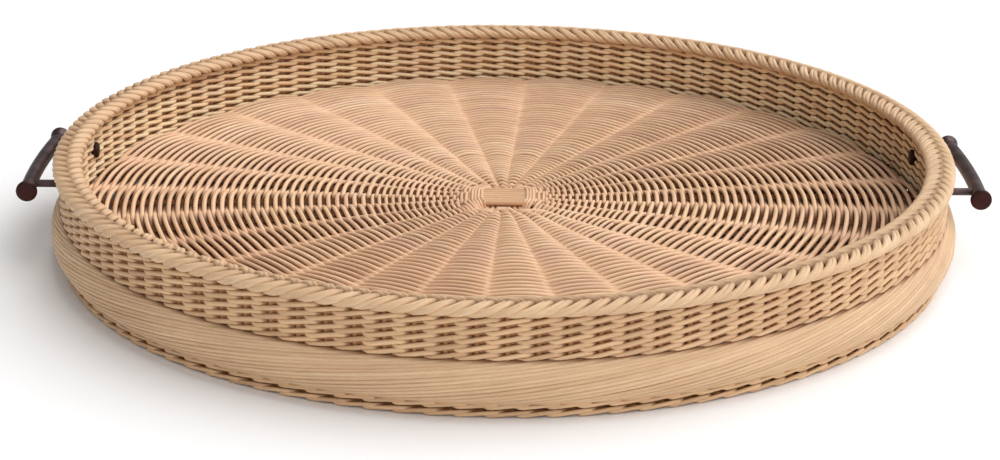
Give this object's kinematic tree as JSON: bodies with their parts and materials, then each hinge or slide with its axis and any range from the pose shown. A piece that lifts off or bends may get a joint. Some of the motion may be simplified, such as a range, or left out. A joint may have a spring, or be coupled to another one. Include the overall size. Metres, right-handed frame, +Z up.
{
  "type": "woven serving tray",
  "caption": "Round woven cane tray with a twined floor on crossed rods, an upright waled wall, a plaited border, a slanted-cane foot and a dark bar handle at each side.",
  "frame": {"origin": "middle of the tray on the surface that it stands on", "axes": "+Z up; +X through the right-hand handle, the longest extent; +Y away from the front"},
  "size_m": [0.705, 0.668, 0.0771],
  "materials": {
    "cane": "natural honey-tan round cane, satin, slight strand-to-strand colour change",
    "pale_cane": "paler natural round cane, satin",
    "rod_cane": "natural round cane rod, satin",
    "bronze": "dark oil-rubbed bronze, smooth, soft highlights, redder on the end faces"
  },
  "bodies": {
    "root": {"base_rod_across_1": "rod_cane", "base_rod_across_2": "rod_cane", "base_rod_across_3": "rod_cane", "base_rod_across_4": "rod_cane", "base_rod_across_5": "rod_cane", "base_rod_across_6": "rod_cane", "base_rod_across_7": "rod_cane", "base_rod_along_1": "rod_cane", "base_rod_along_2": "rod_cane", "base_rod_along_3": "rod_cane", "base_rod_along_4": "rod_cane", "base_rod_along_5": "rod_cane", "base_rod_along_6": "rod_cane", "base_rod_along_7": "rod_cane", "floor_weave_inner": "cane", "floor_weave_outer": "cane", "wall_weave": "cane", "border_plait": "pale_cane", "foot_skirt": "pale_cane", "foot_wale": "cane", "handle_bar_right": "bronze", "end_cap_right_front": "bronze", "post_right_front": "bronze", "screw_head_right_front": "bronze", "end_cap_right_back": "bronze", "post_right_back": "bronze", "screw_head_right_back": "bronze", "handle_bar_left": "bronze", "end_cap_left_front": "bronze", "post_left_front": "bronze", "screw_head_left_front": "bronze", "end_cap_left_back": "bronze", "post_left_back": "bronze", "screw_head_left_back": "bronze"}
  },
  "joints": []
}
